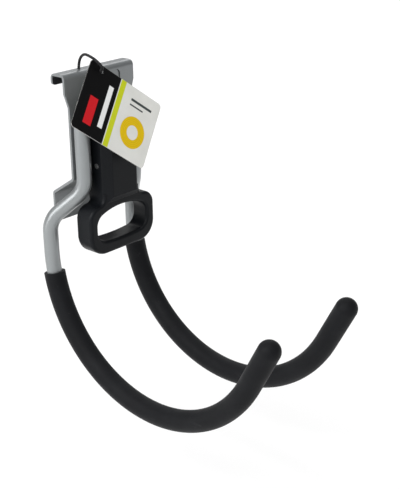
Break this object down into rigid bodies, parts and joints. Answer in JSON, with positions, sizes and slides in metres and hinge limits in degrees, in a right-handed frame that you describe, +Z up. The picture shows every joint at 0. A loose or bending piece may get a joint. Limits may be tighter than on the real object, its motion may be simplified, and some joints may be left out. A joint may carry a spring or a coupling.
{
  "type": "garage utility hook",
  "caption": "Rail-hung garage hook: folded steel bracket with a lip, twin sleeved steel arms, and a sprung release latch with a finger loop.",
  "frame": {"origin": "rail seat: middle of the hook, rear face of the bracket's sheet, underside of its lip", "axes": "+Z up, +Y to the wall, -Y to the front, +X to the right as seen from the front"},
  "size_m": [0.1064, 0.2359, 0.2683],
  "materials": {
    "bracket_paint": "satin silver-grey powder coat",
    "tube_paint": "satin silver-grey powder coat",
    "grip": "matte soft black",
    "latch_plastic": "fine grained black moulding",
    "pin_steel": "plain steel",
    "spring_steel": "zinc plated wire",
    "card": "coated card, plain printed fields",
    "elastic": "black elastic cord"
  },
  "bodies": {
    "frame": {"back_bracket": "bracket_paint", "left_arm_tube": "tube_paint", "right_arm_tube": "tube_paint", "left_grip_sleeve": "grip", "right_grip_sleeve": "grip", "weld_beads": "bracket_paint", "return_spring": "spring_steel", "hang_tag": "card", "tag_cord": "elastic", "cord_knots": "elastic"},
    "latch": {"release_latch": "latch_plastic", "latch_pin": "pin_steel"}
  },
  "joints": [
    {"name": "latch_slide", "type": "slide", "parent": "frame", "child": "latch", "axis": [0, 0, -1], "range_m": [0, 0.008], "stiffness_N_per_m": 400, "springref_m": -0.01, "deforming": ["return_spring"]}
  ]
}
